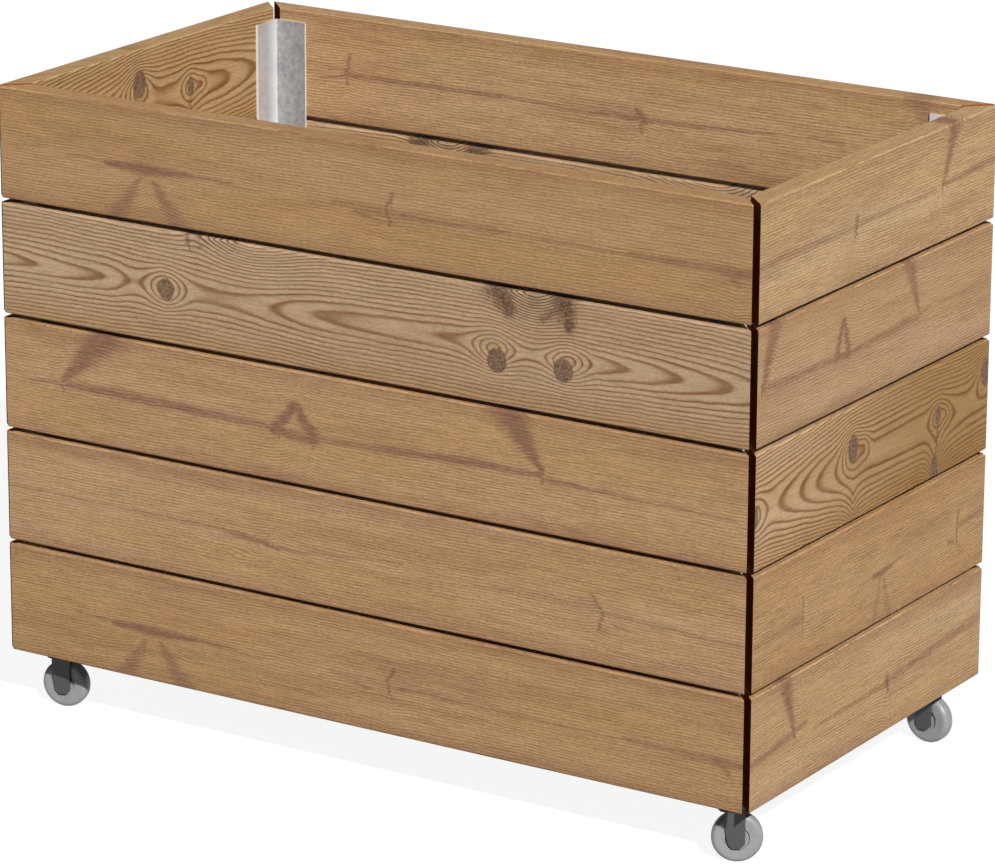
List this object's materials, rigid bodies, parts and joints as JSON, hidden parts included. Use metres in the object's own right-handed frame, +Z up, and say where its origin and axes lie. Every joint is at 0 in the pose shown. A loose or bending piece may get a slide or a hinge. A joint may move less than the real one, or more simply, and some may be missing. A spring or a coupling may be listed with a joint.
{
  "type": "slatted timber box on castors",
  "caption": "Open-topped box of spaced timber boards with open mitred corners, steel angles inside the corners, a slatted floor and swivel castors.",
  "frame": {"origin": "on the floor, under the middle of the box", "axes": "+X along the long walls to the right end, +Y from the front wall to the back wall, +Z up"},
  "size_m": [0.875, 0.48, 0.662],
  "materials": {
    "wood": "planed and oiled, straight grain with small knots, satin",
    "galvanised_steel": "galvanised sheet, faint spangle, semi-matt",
    "bright_steel": "zinc plated, semi-bright",
    "fork_paint": "dark grey powder coat, fine texture",
    "wheel_plastic": "light grey moulded plastic, satin"
  },
  "bodies": {
    "box": {"back_board_1": "wood", "back_board_2": "wood", "back_board_3": "wood", "back_board_4": "wood", "back_board_5": "wood", "bearer_screws": "bright_steel", "castor_back_left_balls": "bright_steel", "castor_back_left_head": "fork_paint", "castor_back_right_balls": "bright_steel", "castor_back_right_head": "fork_paint", "castor_front_left_balls": "bright_steel", "castor_front_left_head": "fork_paint", "castor_front_right_balls": "bright_steel", "castor_front_right_head": "fork_paint", "castor_nuts": "bright_steel", "castor_washers": "bright_steel", "corner_angle_back_left": "galvanised_steel", "corner_angle_back_right": "galvanised_steel", "corner_angle_front_left": "galvanised_steel", "corner_angle_front_right": "galvanised_steel", "floor_bearer_back": "wood", "floor_bearer_front": "wood", "floor_screws": "bright_steel", "floor_slat_1": "wood", "floor_slat_2": "wood", "floor_slat_3": "wood", "floor_slat_4": "wood", "floor_slat_5": "wood", "floor_slat_6": "wood", "floor_slat_7": "wood", "floor_slat_8": "wood", "front_board_1": "wood", "front_board_2": "wood", "front_board_3": "wood", "front_board_4": "wood", "front_board_5": "wood", "left_board_1": "wood", "left_board_2": "wood", "left_board_3": "wood", "left_board_4": "wood", "left_board_5": "wood", "right_board_1": "wood", "right_board_2": "wood", "right_board_3": "wood", "right_board_4": "wood", "right_board_5": "wood", "wall_nails": "galvanised_steel"},
    "fork_front_left": {"castor_front_left_fork": "fork_paint", "castor_front_left_axle": "fork_paint"},
    "wheel_front_left": {"castor_front_left_wheel": "wheel_plastic"},
    "fork_front_right": {"castor_front_right_fork": "fork_paint", "castor_front_right_axle": "fork_paint"},
    "wheel_front_right": {"castor_front_right_wheel": "wheel_plastic"},
    "fork_back_left": {"castor_back_left_fork": "fork_paint", "castor_back_left_axle": "fork_paint"},
    "wheel_back_left": {"castor_back_left_wheel": "wheel_plastic"},
    "fork_back_right": {"castor_back_right_fork": "fork_paint", "castor_back_right_axle": "fork_paint"},
    "wheel_back_right": {"castor_back_right_wheel": "wheel_plastic"}
  },
  "joints": [
    {"name": "swivel_front_left", "type": "hinge", "parent": "box", "child": "fork_front_left", "pos_m": [-0.4, -0.197, 0.06], "axis": [0, 0, 1], "continuous": true},
    {"name": "roll_front_left", "type": "hinge", "parent": "fork_front_left", "child": "wheel_front_left", "pos_m": [-0.39708, -0.19632, 0.025], "axis": [-0.225, 0.9744, 0], "continuous": true},
    {"name": "swivel_front_right", "type": "hinge", "parent": "box", "child": "fork_front_right", "pos_m": [0.4, -0.197, 0.06], "axis": [0, 0, 1], "continuous": true},
    {"name": "roll_front_right", "type": "hinge", "parent": "fork_front_right", "child": "wheel_front_right", "pos_m": [0.40257, -0.19545, 0.025], "axis": [-0.515, 0.8572, 0], "continuous": true},
    {"name": "swivel_back_left", "type": "hinge", "parent": "box", "child": "fork_back_left", "pos_m": [-0.4, 0.197, 0.06], "axis": [0, 0, 1], "continuous": true},
    {"name": "roll_back_left", "type": "hinge", "parent": "fork_back_left", "child": "wheel_back_left", "pos_m": [-0.3972, 0.19808, 0.025], "axis": [-0.3584, 0.9336, 0], "continuous": true},
    {"name": "swivel_back_right", "type": "hinge", "parent": "box", "child": "fork_back_right", "pos_m": [0.4, 0.197, 0.06], "axis": [0, 0, 1], "continuous": true},
    {"name": "roll_back_right", "type": "hinge", "parent": "fork_back_right", "child": "wheel_back_right", "pos_m": [0.40299, 0.19679, 0.025], "axis": [0.0698, 0.9976, 0], "continuous": true}
  ]
}
